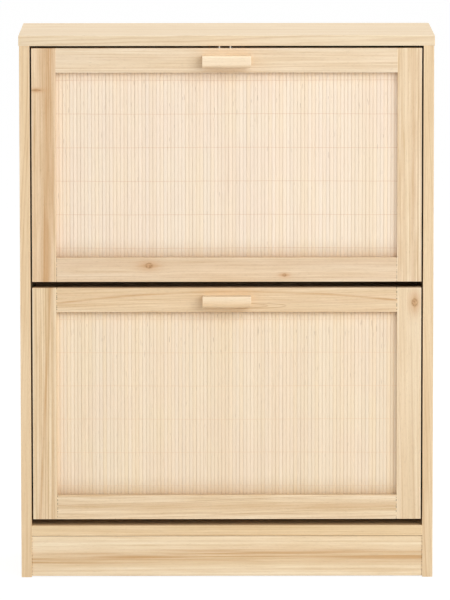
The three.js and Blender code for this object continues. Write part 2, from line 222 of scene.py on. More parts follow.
# ------------------------------------------------------------------ wood
FAR_KNOT = (-5000.0, 0.0, 1.0)  # off every board
ARRIS = 1.3  # mm, width of the paler line along an edge: sanded wear, with a painted highlight
WOOD_ROUGHNESS = 0.52
WOOD_SPECULAR = 0.32
SEAM_BROWN = rgb(60, 38, 20)
# painted shadow: a dark line along a board's upper edge, where the board above overhangs it
PAINTED_SHADOW_BROWN = rgb(110, 76, 44)
PAINTED_SHADOW_WIDTH = (0.9, 1.7)  # mm under the upper edge: where it is darkest, and where it ends
PLY_BROWN = rgb(176, 132, 88)  # the middle ply
PLY_HALF = (0.75, 0.95)  # mm from the sheet's middle to the middle ply's faces
WOOD = {
    "Light": rgb(246, 226, 197),
    "Deep": rgb(234, 207, 169),
    "Late": rgb(196, 153, 104),
    "Stain": rgb(202, 156, 104),
    "Seed": 0.0,
    "Pith Across": 190.0,  # where the log's pith runs, from the board's middle
    "Pith Depth": 60.0,
    "Lean Across": 0.0,  # how the pith leans against the board's length
    "Lean Depth": 0.0,
    "Ring": 3.2,  # width of a growth ring
    "Ring Depth": 0.5,
    "Streaks": 0.34,  # light and dark lines along the grain
    "Flame": 0.14,  # patches that change along it
    "Wave": 16.0,  # long swings of the grain
    "Ripple": 2.0,  # short ones
    "Stain Place": 0.0,  # a brown band along the board
    "Stain Width": 6.0,
    "Stain Depth": 0.0,
    "Stain Lean": 0.0,  # how far the band moves across for each mm along
    "Stain Curve": 0.0,  # how it bends, per mm
    "Mottle": 0.22,  # soft brown streaks
    "Pores": 0.28,  # fine dark dashes
    "Knot": FAR_KNOT,  # along, across, radius
    "Knot 2": FAR_KNOT,
    "Spike": FAR_KNOT,  # a knot cut along its length: a thin mark across the grain
    "Tongue": FAR_KNOT,  # a growth ring's pointed end
    "Half": (5000.0, 5000.0, 5000.0),  # half the board's size
    "Seam": 0.0,  # how dark the butt joints at its ends are
    "Crease": 0.0,  # how dark the painted shadow along its upper edge is, where the board above overhangs it
}


def wood_group():
    """A node group of wood grain, with WOOD's keys as its inputs.

    Place is (along, across, depth) in mm from the board's middle.
    """
    tree = bpy.data.node_groups.new("wood_grain", "ShaderNodeTree")
    tree.interface.new_socket(name="Place", in_out="INPUT", socket_type="NodeSocketVector")
    for name, value in WOOD.items():
        size = len(value) if isinstance(value, tuple) else 1
        kind = {1: "Float", 3: "Vector", 4: "Color"}[size]
        socket = tree.interface.new_socket(
            name=name, in_out="INPUT", socket_type="NodeSocket" + kind
        )
        socket.default_value = value
    for name, kind in (("Color", "Color"), ("Roughness", "Float"), ("Height", "Float")):
        tree.interface.new_socket(
            name=name, in_out="OUTPUT", socket_type="NodeSocket" + kind
        )
    g = Graph(tree)
    source = tree.nodes.new("NodeGroupInput")
    given = {out.name: Value(g, out) for out in source.outputs if out.name}
    u, v, w = g.split(given["Place"])
    board_v = v
    seed = given["Seed"] * 7.31

    # Knots bend the grain round them.
    knots = []
    for name, stretch in (("Knot", 1.0), ("Knot 2", 1.0), ("Spike", 4.0)):
        at, side, size = g.split(given[name])
        along, across = (u - at) * stretch, (v - side) / math.sqrt(stretch)
        near = g.bell(squared(along / (size * 4.0)) + squared(across / (size * 1.9)))
        tail = g.bell(squared(along / (size * 3.0)) + squared(across / (size * 0.42)))
        if stretch == 1.0:
            v = v - across * near * 0.86
        turn = g.vector(along / size * 1.5, across / size * 1.7, seed + stretch)
        rough = g.noise(turn, 2.0)
        reach = g.root(squared(along / 1.25) + squared(across)) / size
        off_centre = squared(along / size - 0.3) + squared(across / size + 0.15)
        heart = g.bell(off_centre / 0.12)
        knots.append((reach + (rough - 0.5) * 1.1, near, tail, rough, heart))

    def grain(length, width, detail, shift):
        """Noise in streaks of a length along the board and a width across it."""
        return g.noise(
            g.vector(u / length + (seed + shift), v / width + seed, w / width + shift),
            detail,
        )

    # Growth rings: each is pale at first, and ends in a thin darker line.
    swing = (grain(520.0, 80.0, 1.0, 3.7) - 0.5) * given["Wave"]
    ripple = (grain(95.0, 17.0, 2.0, 9.1) - 0.5) * given["Ripple"]
    pith_across = v + swing + ripple - given["Pith Across"] - u * given["Lean Across"]
    pith_depth = w - given["Pith Depth"] - u * given["Lean Depth"]
    radius = g.root(squared(pith_across) + squared(pith_depth))
    uneven = g.noise(g.vector(radius / 11.0, seed, 0.5), 1.0)
    rings = radius / given["Ring"] + (uneven - 0.5) * 3.0
    number = g.floor(rings)
    part = rings - number
    late = g.step(part, 0.4, 0.9) * (1.0 - g.step(part, 0.92, 1.0))
    late = late * (0.16 + g.math("POWER", g.chance(number + given["Seed"]), 1.7) * 0.84)

    streak = grain(230.0, 3.4, 2.0, 1.3)
    warm = g.step(grain(610.0, 15.0, 1.0, 4.4), 0.35, 0.68)
    fibre = grain(34.0, 0.75, 2.0, 5.9)
    broad = grain(800.0, 26.0, 1.0, 2.2)
    mottle = g.step(grain(330.0, 9.0, 1.0, 6.6), 0.52, 0.78) * given["Mottle"]
    pores = g.step(grain(7.0, 0.3, 1.0, 8.4), 0.63, 0.72) * given["Pores"]

    # The brown band that runs along the board.
    path = given["Stain Place"] + u * given["Stain Lean"]
    path = path + u * u * given["Stain Curve"]
    off = v - path + swing * 0.2
    band = g.bell(squared(off / given["Stain Width"]))
    band = band * given["Stain Depth"] * (0.3 + g.step(streak, 0.38, 0.62))

    colour = g.mix(g.step(broad, 0.25, 0.75), given["Light"], given["Deep"])
    colour = g.mix(warm * 0.4, colour, g.tinted(given["Light"], (1.0, 0.945, 0.89)))
    colour = g.mix(band + mottle, colour, given["Stain"])
    colour = g.mix(late * given["Ring Depth"], colour, given["Late"])
    colour = g.mix(pores, colour, g.scale(given["Late"], 0.5))
    tone = (fibre - 0.5) * 0.2 + (streak - 0.5) * given["Streaks"]
    tone = tone + (grain(62.0, 4.6, 2.0, 7.7) - 0.5) * given["Flame"]
    warmth = g.vector(tone * 0.7 + 1.0, tone * 1.05 + 1.0, tone * 1.6 + 1.0)
    colour = g.tinted(colour, warmth)
    for reach, near, tail, rough, heart in knots:
        rim = g.bell(squared((reach - 0.88) / 0.26)) * (0.3 + g.step(rough, 0.38, 0.62))
        body = 1.0 - g.step(reach, 0.7, 1.1)
        colour = g.mix(near * 0.7, colour, g.tinted(given["Stain"], (1.15, 1.18, 1.4)))
        colour = g.mix(tail * 0.5, colour, g.tinted(given["Stain"], (1.0, 1.03, 1.15)))
        colour = g.mix(body * 0.2, colour, g.tinted(given["Stain"], (1.0, 0.95, 1.0)))
        rim = g.math("MINIMUM", rim * 0.72, 0.85)
        colour = g.mix(rim, colour, g.tinted(given["Stain"], (0.7, 0.66, 0.62)))
        colour = g.mix(heart * 0.6, colour, g.tinted(given["Stain"], (0.6, 0.5, 0.42)))

    # A pointed ring: two nested pairs of thin lines that open from a tip.
    tip, side, size = g.split(given["Tongue"])
    tongue = 0.0
    for start in (0.0, 1.1):
        inside = (tip - u) / size - start
        opening = size * 0.13 * g.root(g.math("MAXIMUM", inside, 0.0))
        off = g.absolute(v - side) - opening
        fade = g.step(inside, -0.08, 0.1) * (1.0 - g.step(inside, 0.9, 2.6))
        tongue = tongue + g.bell(squared(off / 0.5)) * fade
    colour = g.mix(tongue * 0.55, colour, g.scale(given["Stain"], 0.85))

    # Edges are paler: sanded wear, with a painted highlight. Butt joints are darker, and a
    # painted shadow runs along an upper edge under an overhang.
    place = (g.absolute(u), g.absolute(board_v), g.absolute(w))
    nears = [
        g.step(far, half - ARRIS, half - ARRIS * 0.4)
        for far, half in zip(place, g.split(given["Half"]))
    ]
    # painted highlight along every edge, with sanded wear
    arris = nears[0] * nears[1] + nears[1] * nears[2] + nears[0] * nears[2]
    arris = g.math("MINIMUM", arris, 1.0) * (0.55 + grain(24.0, 9.0, 2.0, 3.3) * 0.9)
    colour = g.tinted(
        colour, g.vector(arris * 0.09 + 1.0, arris * 0.11 + 1.0, arris * 0.13 + 1.0)
    )
    seam = nears[0] * given["Seam"]
    dashes = g.step(g.noise(g.vector(u / 300.0, v / 1.9, seed), 1.0), 0.44, 0.56)
    colour = g.mix(seam * dashes * 0.8, colour, SEAM_BROWN)
    _, half_across, _ = g.split(given["Half"])
    darkest, end = PAINTED_SHADOW_WIDTH
    # painted shadow along the upper edge, where the board above overhangs it
    painted_shadow = g.step(board_v, half_across - end, half_across - darkest) * given["Crease"]
    colour = g.mix(painted_shadow, colour, PAINTED_SHADOW_BROWN)

    target = tree.nodes.new("NodeGroupOutput")
    g.put(target.inputs["Color"], colour)
    roughness = WOOD_ROUGHNESS + (fibre - 0.5) * 0.12 + pores * 0.2
    g.put(target.inputs["Roughness"], roughness)
    g.put(target.inputs["Height"], fibre * 0.035 - late * 0.015 - pores * 0.09)
    return tree


WOOD_GROUP = wood_group()
AXES = {"x": 0, "y": 1, "z": 2}
TINTED = ("Light", "Deep", "Late", "Stain")  # the colours that a board's tint multiplies
UNTINTED = (1.0, 1.0, 1.0)
BOARD_NUMBERS = itertools.count(1)
SEED_STEP = 1.37  # from one board's grain to the next


def wood_colour(g, along, across, node, look):
    """The wood group on a CAD board: its three outputs, and the board's own coordinates."""
    axes = [AXES[along], AXES[across]]
    axes.append(3 - sum(axes))
    low, high = [[value / MM for value in corner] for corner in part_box(node)]
    origin = [(a + b) / 2 for a, b in zip(low, high)]
    look["Half"] = tuple((high[axis] - low[axis]) / 2 for axis in axes)
    local = [coordinate - start for coordinate, start in zip(g.place(), origin)]
    grain = g.node("Group", node_tree=WOOD_GROUP)
    g.put(grain.inputs["Place"], g.vector(*[local[axis] for axis in axes]))
    for key, value in look.items():
        g.put(grain.inputs[key], value)
    return [Value(g, grain.outputs[i]) for i in range(3)], [local[a] for a in axes]


def board_look(look, tint):
    """A board's full look: WOOD's values, its own changes, and a tint on every colour."""
    made = dict(WOOD, Seed=SEED_STEP * next(BOARD_NUMBERS))
    made.update({key.replace("_", " "): value for key, value in look.items()})
    for key in TINTED:
        made[key] = tuple(a * b for a, b in zip(made[key], (*tint, 1.0)))
    return made


def wood(node, along, across, tint=UNTINTED, **look):
    """A wood material for one board. Look keys are WOOD's, with _ for spaces."""
    material, g = new_material("wood_" + node)
    look = board_look(look, tint)
    (colour, roughness, height), _ = wood_colour(g, along, across, node, look)
    surface(g, colour, roughness, height, Specular_IOR_Level=WOOD_SPECULAR)
    return material


def plywood(node, along, across):
    """Thin plywood: a wood face, and edges where the middle ply shows darker."""
    material, g = new_material("ply_" + node)
    look = board_look({}, UNTINTED)
    (colour, roughness, height), local = wood_colour(g, along, across, node, look)
    ply = 1.0 - g.step(g.absolute(local[2]), *PLY_HALF)
    colour = g.mix(ply * 0.55, colour, PLY_BROWN)
    surface(g, colour, roughness, height - ply * 0.05, Specular_IOR_Level=WOOD_SPECULAR)
    return material


# ------------------------------------------------------------------ other materials
def slat_material(name, half, pitch, low, high, fleck_start, tint):
    """Bamboo slats: each has its own tone, with fibres, soft stains and dark flecks, and painted
    shade in the grooves between them.

    low and high are the heights between which flecks grow more common.
    """
    material, g = new_material(name)
    x, y, z = g.place()
    rank = (x + half) / pitch
    number = g.floor(rank)
    offset = g.absolute(rank - number - 0.5) * 2.0
    tone = g.chance(number + fleck_start)
    hue = g.chance(number + (fleck_start + 211.0))
    edge = g.step(offset, 0.35, 1.0)
    shift = tone * 37.0
    fibre = g.noise(g.vector(x / 0.35, y / 0.5, z / 38.0 + shift), 2.0)
    patch = g.noise(g.vector(x / 60.0, 0.3, z / 75.0 + fleck_start), 1.0)
    stain = g.noise(g.vector(x / 1.9, 4.0 + fleck_start, z / 60.0 + shift), 1.0)
    fleck = g.noise(g.vector(x / 0.9, 9.0 + fleck_start, z / 17.0 + shift), 0.0)
    upper = g.step(z, low + (high - low) * 0.35, high)
    threshold = 0.83 - upper * 0.085
    fleck = g.step(fleck, threshold, threshold + 0.05)
    colour = g.mix(hue, rgb(252, 234, 209), rgb(251, 230, 199))
    colour = g.mix(g.step(patch, 0.35, 0.7) * 0.35, colour, rgb(250, 226, 203))
    colour = g.scale(colour, 0.955 + tone * 0.055)
    colour = g.scale(colour, 1.0 + (fibre - 0.5) * 0.12)
    # painted shade in the grooves: each slat darker towards its long edges
    groove_shade_depth = 0.05 + g.chance(number + (fleck_start + 57.0)) * 0.12
    colour = g.mix(edge * groove_shade_depth, colour, rgb(206, 168, 128))
    colour = g.mix(g.step(stain, 0.6, 0.85) * 0.3, colour, rgb(206, 168, 124))
    colour = g.mix(fleck * 0.5, colour, rgb(118, 88, 60))
    colour = g.tinted(colour, tint)
    surface(g, colour, 0.55 + (fibre - 0.5) * 0.15, fibre * 0.03 - fleck * 0.04)
    return material


def thread_material(name, pale, deep):
    """Pale cotton thread, twisted."""
    material, g = new_material(name)
    x, y, z = g.place()
    twist = g.noise(g.vector((x + z * 2.0) / 0.35, y / 0.2, z / 0.2), 1.0)
    colour = g.mix(twist, pale, deep)
    surface(g, colour, 0.85, twist * 0.05)
    return material


def hardboard_material():
    """Thin fibreboard: brown flecked fibres, and the faint mark of the press's screen."""
    material, g = new_material("back_hardboard")
    x, y, z = g.place()
    fibre = g.noise(g.vector(x / 2.4, y / 2.4, z / 2.4), 4.0, 0.65)
    long_fibre = g.noise(g.vector(x / 9.0, y, z / 1.1), 2.0)
    patch = g.noise(g.vector(x / 160.0, y / 160.0, z / 160.0), 2.0)
    mesh = g.math("SINE", x * 4.2) * g.math("SINE", z * 4.2)
    colour = g.mix(fibre, rgb(186, 150, 108), rgb(214, 182, 140))
    colour = g.mix(g.step(long_fibre, 0.55, 0.75) * 0.5, colour, rgb(158, 120, 82))
    colour = g.scale(colour, 0.93 + patch * 0.14)
    surface(g, colour, 0.75 + (fibre - 0.5) * 0.2, fibre * 0.08 + mesh * 0.02)
    return material


def moulded_material(name, dark, light, grain, roughness):
    """Injection-moulded plastic: fine spark-eroded texture and slight sheen changes."""
    material, g = new_material(name)
    x, y, z = g.place()
    spark = g.cells(g.vector(x / grain, y / grain, z / grain))
    cloud = g.noise(g.vector(x / 30.0, y / 30.0, z / 30.0), 2.0)
    colour = g.mix(g.step(cloud, 0.3, 0.7), dark, light)
    shine = roughness + (cloud - 0.5) * 0.12 + spark * 0.08
    surface(g, colour, shine, spark * 0.03)
    return material


def steel_material():
    """Zinc-plated steel: soft spangle, brushed lines and a faint straw tint."""
    material, g = new_material("zinc_steel")
    x, y, z = g.place()
    spangle = g.cells(g.vector(x / 3.1, y / 3.1, z / 3.1))
    brush = g.noise(g.vector(x / 14.0, y / 0.25, z / 0.25), 2.0)
    colour = g.mix(spangle, rgb(205, 207, 210), rgb(186, 188, 190))
    colour = g.mix(g.step(brush, 0.4, 0.8) * 0.3, colour, rgb(200, 194, 178))
    surface(g, colour, 0.3 + brush * 0.16, brush * 0.01, Metallic=1.0)
    return material


BLACK_PLASTIC = moulded_material(
    "black_moulded", rgb(26, 25, 24), rgb(33, 31, 30), 0.45, 0.42
)
BROWN_PLASTIC = moulded_material(
    "brown_moulded", rgb(64, 44, 28), rgb(76, 54, 36), 0.5, 0.45
)
WHITE_PLASTIC = moulded_material(
    "white_moulded", rgb(226, 221, 210), rgb(233, 229, 220), 0.6, 0.4
)
STEEL = steel_material()
THREADS = {
    "upper": thread_material("thread_upper", rgb(240, 214, 186), rgb(222, 188, 156)),
    "lower": thread_material("thread_lower", rgb(246, 222, 192), rgb(236, 206, 172)),
}
HARDBOARD = hardboard_material()


# ------------------------------------------------------------------ CAD boards
WELD_DISTANCE = 0.02  # mm
FLAT_ANGLE = 1.0  # degrees, under which two faces count as one
SHARP_ANGLE = 30.0  # degrees, over which an edge is rounded


def soften(node, width, segments):
    """Rounds a CAD node's sharp edges by a modifier. Its own mesh stays as it is."""
    piece = NODES[node]
    weld = piece.modifiers.new("weld", "WELD")
    weld.merge_threshold = WELD_DISTANCE * MM
    flat = piece.modifiers.new("flat", "DECIMATE")
    flat.decimate_type = "DISSOLVE"
    flat.angle_limit = math.radians(FLAT_ANGLE)
    edge = piece.modifiers.new("edge", "BEVEL")
    edge.width = width * MM
    edge.segments = segments
    edge.limit_method = "ANGLE"
    edge.angle_limit = math.radians(SHARP_ANGLE)
    edge.harden_normals = True
    edge.use_clamp_overlap = True
    for attribute in [a for a in piece.data.attributes if a.name == "custom_normal"]:
        piece.data.attributes.remove(attribute)
    for face in piece.data.polygons:
        face.use_smooth = True


def finish_node(node, material, width, segments=3):
    """Gives a CAD node its material and edges rounded to a width in mm."""
    piece = NODES[node]
    piece.data.materials.clear()
    piece.data.materials.append(material)
    soften(node, width, segments)


def board(node, along, across, width, **look):
    """Gives a CAD board its own cut of wood."""
    finish_node(node, wood(node, along, across, **look), width)


# Places along and across a board are in mm from its middle, and tints multiply its colours.
CARCASS = {  # what the boards of the carcass share
    "Light": rgb(246, 224, 190),
    "Deep": rgb(239, 212, 172),
    "Late": rgb(206, 165, 115),
    "Ring_Depth": 0.42,
    "Mottle": 0.14,
    "Pores": 0.22,
    "Ring": 2.6,
}
DOOR_LOOKS = {
    "upper_stile_left": dict(
        tint=(0.945, 0.88, 0.80), Stain_Place=4.5, Stain_Lean=0.016, Stain_Width=8.5,
        Stain_Depth=0.68, Mottle=0.36, Spike=(109.0, -10.5, 3.4), Wave=12.0, Streaks=0.8,
        Flame=0.34, Ring_Depth=0.5,
    ),
    "upper_stile_right": dict(
        tint=(0.99, 1.0, 1.01), Stain_Place=6.0, Stain_Width=4.0, Stain_Depth=0.35,
        Wave=10.0, Ripple=3.0, Ring=2.5, Streaks=0.8, Flame=0.34,
    ),
    "upper_rail_top": dict(
        tint=(0.995, 1.02, 1.06), Ring=2.1, Ring_Depth=0.4, Lean_Across=0.012,
        Streaks=0.5, Flame=0.2,
    ),
    "upper_rail_bottom": dict(
        Seam=0.6, tint=(0.95, 0.93, 0.93), Knot=(-112.4, 6.0, 4.0), Mottle=0.2,
        Stain_Place=10.0, Stain_Width=7.0, Stain_Depth=0.22, Ring_Depth=0.22,
        Streaks=0.4, Flame=0.22, **{"Knot 2": (83.4, -7.9, 2.1)},
    ),
    "lower_stile_left": dict(
        tint=(0.98, 0.97, 0.93), Stain_Place=0.5, Stain_Lean=0.045, Stain_Width=2.2,
        Stain_Depth=0.6, Streaks=0.66, Flame=0.28, Wave=12.0,
    ),
    "lower_stile_right": dict(
        tint=(0.95, 0.93, 0.88), Knot=(147.8, 7.9, 4.4), Pith_Across=60.0,
        Pith_Depth=70.0, Lean_Across=-0.05, Lean_Depth=0.02, Ring=3.8, Ring_Depth=0.24,
        Wave=12.0, Streaks=0.3, Flame=0.14,
    ),
    "lower_rail_top": dict(
        Seam=1.0, tint=(0.975, 0.95, 0.91), Stain_Place=12.0, Stain_Lean=0.009,
        Stain_Curve=-0.00024, Stain_Width=1.6, Stain_Depth=0.58, Pith_Across=90.0,
        Pith_Depth=60.0, Lean_Across=0.04, Wave=8.0, Ring_Depth=0.3, Streaks=0.42, Flame=0.24,
        Tongue=(86.0, -8.5, 24.0),
    ),
    "lower_rail_bottom": dict(
        Seam=0.8, tint=(0.985, 0.985, 0.96), Stain_Place=1.5, Stain_Width=5.0,
        Stain_Depth=0.3, Wave=14.0, Lean_Across=0.03, Ripple=3.2, Streaks=0.56, Flame=0.28,
    ),
}

# a brown band along each handle's lower edge, darker towards the bottom: partly wood figure,
# partly painted shade and warm bounce where the face turns down
HANDLE_LOOKS = {
    "upper": dict(Stain_Place=-7.2, Stain_Width=3.2, Stain_Depth=0.5),
    "lower": dict(Stain_Place=-7.0, Stain_Width=6.5, Stain_Depth=0.42),
}

board("top_board", "x", "y", 0.8, **(CARCASS | {"Ring_Depth": 0.3}),
      tint=(0.915, 0.925, 0.942), Pith_Across=60.0, Pith_Depth=-70.0, Lean_Depth=0.03)
board("side_panel_left", "z", "y", 0.5, **CARCASS, tint=(0.95, 0.925, 0.895),
      Pith_Across=30.0, Pith_Depth=90.0, Lean_Depth=0.04)
board("side_panel_right", "z", "y", 0.5, **CARCASS, tint=(0.915, 0.875, 0.815),
      Pith_Across=-20.0, Pith_Depth=-95.0, Lean_Depth=-0.05)
board("bottom_shelf", "x", "y", 0.8, **CARCASS, tint=(0.97, 0.94, 0.87),
      Pith_Across=-40.0, Pith_Depth=-80.0)
# the plinth's upper edge carries a painted shadow under the shelf
board("plinth_board", "x", "z", 0.6, **(CARCASS | {"Ring": 4.6, "Ring_Depth": 0.4}),
      tint=(1.03, 1.06, 1.09), Pith_Across=90.0, Pith_Depth=60.0, Wave=10.0,
      Stain_Place=0.5, Stain_Lean=0.0092, Stain_Curve=-0.000057, Stain_Width=11.5,
      Stain_Depth=0.7, Streaks=0.5, Flame=0.2, Seam=0.5, Crease=0.5)
RAIL_TINTS = {  # the two upper rails, seen in the door gaps, are darkened: painted shade
    "rear_foot_rail": UNTINTED,
    "top_rear_rail": (0.6, 0.48, 0.42),
    "middle_stretcher": (0.6, 0.48, 0.42),
}
for rail, tint in RAIL_TINTS.items():
    board(rail, "x", "z", 0.5, **CARCASS, tint=tint, Pith_Across=120.0, Pith_Depth=50.0)

for prefix in DOORS:
    for side, _ in SIDES:
        node = f"{prefix}_stile_{side}"
        board(node, "z", "x", 0.4, **DOOR_LOOKS[node])
    for rail in ("top", "bottom"):
        node = f"{prefix}_rail_{rail}"
        board(node, "x", "z", 0.4, **DOOR_LOOKS[node])
    board(
        f"{prefix}_handle", "x", "z", 0.6,
        Light=rgb(250, 230, 200), Deep=rgb(248, 225, 192), Ring_Depth=0.2, Mottle=0.05,
        Streaks=0.2, Stain=rgb(216, 164, 90), **HANDLE_LOOKS[prefix],
    )
    for shelf, across in (("front_shelf", "y"), ("rear_shelf", "y"),
                          ("divider", "z"), ("rear_stop", "z"), ("backing_board", "z")):
        node = f"{prefix}_{shelf}"
        finish_node(node, plywood(node, "x", across), 0.3, 2)
    for side, _ in SIDES:
        finish_node(f"{prefix}_cheek_{side}", BLACK_PLASTIC, 0.4, 2)
        finish_node(f"{prefix}_bracket_{side}", BLACK_PLASTIC, 0.4, 2)
        finish_node(f"{prefix}_handle_screw_{side}", STEEL, 0.25, 2)
    finish_node(f"{prefix}_strike_plate", STEEL, 0.2, 2)
    finish_node(f"{prefix}_catch_housing", BROWN_PLASTIC, 0.5, 2)
    for pole in ("a", "b"):
        finish_node(f"{prefix}_catch_pole_{pole}", STEEL, 0.2, 2)
for side, _ in SIDES:
    finish_node(f"upper_buffer_{side}", WHITE_PLASTIC, 0.5)
for panel in ("back_panel_upper", "back_panel_lower"):
    finish_node(panel, HARDBOARD, 0.3, 2)
finish_node("back_joint_strip", WHITE_PLASTIC, 0.25, 2)


# ------------------------------------------------------------------ own pieces
def new_piece(name, body, material, build):
    """A mesh piece that rides on a body. build fills its bmesh, in metres."""
    mesh = bpy.data.meshes.new(name)
    bm = bmesh.new()
    build(bm)
    bmesh.ops.recalc_face_normals(bm, faces=bm.faces)
    bm.to_mesh(mesh)
    bm.free()
    mesh.materials.append(material)
    piece = bpy.data.objects.new(name, mesh)
    bpy.context.scene.collection.objects.link(piece)
    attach(piece, body)
    return piece


def loft(bm, rings, smooth):
    """One closed body through rings of equal length, capped at both ends."""
    loops = [[bm.verts.new(point) for point in ring] for ring in rings]
    count = len(loops[0])
    for first, second in zip(loops, loops[1:]):
        for i in range(count):
            j = (i + 1) % count
            face = bm.faces.new((first[i], first[j], second[j], second[i]))
            face.smooth = smooth
    bm.faces.new(loops[0])
    bm.faces.new(loops[-1])


# Slats and threads, in mm.
SLAT_COUNT = 97
SLAT_GAP = 0.03  # between two slats
SLAT_INSET = 0.04  # from the panel's face back to the foremost slat
SLAT_CROWN = 0.14  # that a slat's face falls back in one even curve
SLAT_ROUND = 0.3  # that its long edges fall back in all
SLAT_SINK = 0.07  # most that one slat lies behind another
SLAT_BOW = 0.03  # most that a slat bows in and out along its length
SLAT_SWAY = 0.05  # and from side to side
SLAT_RINGS = 9
SLAT_FRONT_POINTS = 9
THREAD_FIRST = 12.0  # from the upper rail down to the first thread
THREAD_LAST = 4.0  # least that the last one lies above the lower rail
THREAD_PITCH = 48.7
THREAD_RADIUS = 0.24
THREAD_BREADTH = 1.3  # a thread's height over its depth, pressed flat
THREAD_LIFT = 0.08  # from the slats' faces to the thread's middle
THREAD_WAVES = ((0.35, 61.0), (0.12, 7.0))  # its slow and quick waves: height, length / tau
THREAD_STEPS = 8  # rings to a slat
THREAD_SIDES = 6
# the lower panel's darker, warmer tint is painted shade: less light falls low down
SLAT_TINTS_AND_SHADE = {"upper": (0.99, 1.0, 1.035), "lower": (0.97, 0.965, 0.94)}
FLECK_STARTS = {"upper": 13.0, "lower": 53.0}
SLAT_SEEDS = {"upper": 71, "lower": 72}


def slat_profile(t):
    """How far the slat's face lies back, mm, at t from -1 to 1 across it."""
    return SLAT_CROWN * t * t + (SLAT_ROUND - SLAT_CROWN) * t**6


def build_slats(low, high, rng):
    """All the slats of a panel, each a closed body with its own unevenness, and their pitch."""
    x0, y0, z0 = [value / MM for value in low]
    x1, y1, z1 = [value / MM for value in high]
    pitch = (x1 - x0) / SLAT_COUNT

    def build(bm):
        for index in range(SLAT_COUNT):
            half = (pitch - SLAT_GAP) / 2 * rng.uniform(0.992, 1.0)
            centre = x0 + pitch * (index + 0.5)
            sink = rng.uniform(0.0, SLAT_SINK)
            phase = rng.uniform(0, math.tau)
            rings = []
            for k in range(SLAT_RINGS):
                share = k / (SLAT_RINGS - 1)
                sway = SLAT_SWAY * math.sin(phase + 5.0 * share)
                ring = []
                for i in range(SLAT_FRONT_POINTS):
                    t = -1 + 2 * i / (SLAT_FRONT_POINTS - 1)
                    back = sink + slat_profile(t) + SLAT_BOW * math.sin(phase + 9 * share)
                    ring.append((centre + sway + half * t, y0 + SLAT_INSET + back))
                ring.append((centre + sway + half, y1))
                ring.append((centre + sway - half, y1))
                z = z0 + (z1 - z0) * share
                rings.append([Vector((x, y, z)) * MM for x, y in ring])
            loft(bm, rings, smooth=True)

    return build, pitch


def build_threads(low, heights, pitch, rng):
    """Threads that hold the slats: each follows the slats' faces across the panel."""
    x0, y0 = low[0] / MM, low[1] / MM
    (slow, slow_length), (quick, quick_length) = THREAD_WAVES

    def build(bm):
        for z in heights:
            rings = []
            drift = rng.uniform(0, math.tau)
            for k in range(SLAT_COUNT * THREAD_STEPS + 1):
                x = x0 + pitch * k / THREAD_STEPS
                t = 2 * ((k % THREAD_STEPS) / THREAD_STEPS) - 1
                dip = slat_profile(t) + THREAD_LIFT
                wander = slow * math.sin(drift + x / slow_length)
                wander += quick * math.sin(x / quick_length)
                rings.append([
                    Vector((
                        x,
                        y0 + dip + THREAD_RADIUS * math.cos(a),
                        z + wander + THREAD_RADIUS * THREAD_BREADTH * math.sin(a),
                    )) * MM
                    for a in (math.tau * s / THREAD_SIDES for s in range(THREAD_SIDES))
                ])
            loft(bm, rings, smooth=True)

    return build


for prefix in DOORS:
    rng = random.Random(SLAT_SEEDS[prefix])
    node = f"{prefix}_slat_panel"
    low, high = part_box(node)
    rail_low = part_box(f"{prefix}_rail_top")[0][2] / MM
    rail_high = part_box(f"{prefix}_rail_bottom")[1][2] / MM
    build, pitch = build_slats(low, high, rng)
    material = slat_material(
        f"bamboo_{prefix}", high[0] / MM, pitch, rail_high, rail_low,
        FLECK_STARTS[prefix], SLAT_TINTS_AND_SHADE[prefix],
    )
    slats = new_piece(f"{prefix}_slats", f"{prefix}_door", material, build)
    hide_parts(node)
    heights = []
    z = rail_low - THREAD_FIRST
    while z > rail_high + THREAD_LAST:
        heights.append(z)
        z -= THREAD_PITCH
    threads = build_threads(low, heights, pitch, rng)
    new_piece(
        f"{prefix}_slat_threads", f"{prefix}_door", THREADS[prefix], threads
    )


# ------------------------------------------------------------------ fixings
NAIL_RADIUS = 2.1  # of its head, mm
NAIL_HEIGHT = 0.5
NAIL_ROOT = 0.3  # how far a head goes on into the sheet
NAIL_SIDES = 14
NAIL_EDGE = 3.0  # from a sheet's side edge to its row of nails
NAIL_END = 24.0  # from its ends to the first and last nail of the row
NAIL_PITCH = 85.0
RAIL_NAILS = 5
RAIL_NAIL_PITCH = 106.0


def plus_outline(reach, half):
    """A plus sign's twelve corners, anticlockwise."""
    corners = []
    for quarter in range(4):
        turn = quarter * math.pi / 2
        for p, q in ((reach, -half), (reach, half), (half, half)):
            corners.append((
                p * math.cos(turn) - q * math.sin(turn),
                p * math.sin(turn) + q * math.cos(turn),
            ))
    return corners


def screw_head(bm, place, out, radius, height, root):
    """A pan head with a cross recess, in mm. out is its axis, and place is on its seat."""
    out = Vector(out)
    side = Vector((0, 0, 1))
    other = out.cross(side)
    plus = plus_outline(radius * 0.56, radius * 0.15)
    angles = [math.atan2(q, p) for p, q in plus]

    def ring(size, level):
        return [(size * math.cos(a), size * math.sin(a), level) for a in angles]

    rings = [
        ring(radius, -root),
        ring(radius, height * 0.4),
        ring(radius * 0.86, height * 0.82),
        ring(radius * 0.66, height),
        [(p, q, height) for p, q in plus],
        [(p * 0.8, q * 0.8, height - radius * 0.45) for p, q in plus],
    ]
    loft(bm, [
        [(Vector(place) + side * p + other * q + out * level) * MM for p, q, level in points]
        for points in rings
    ], smooth=False)


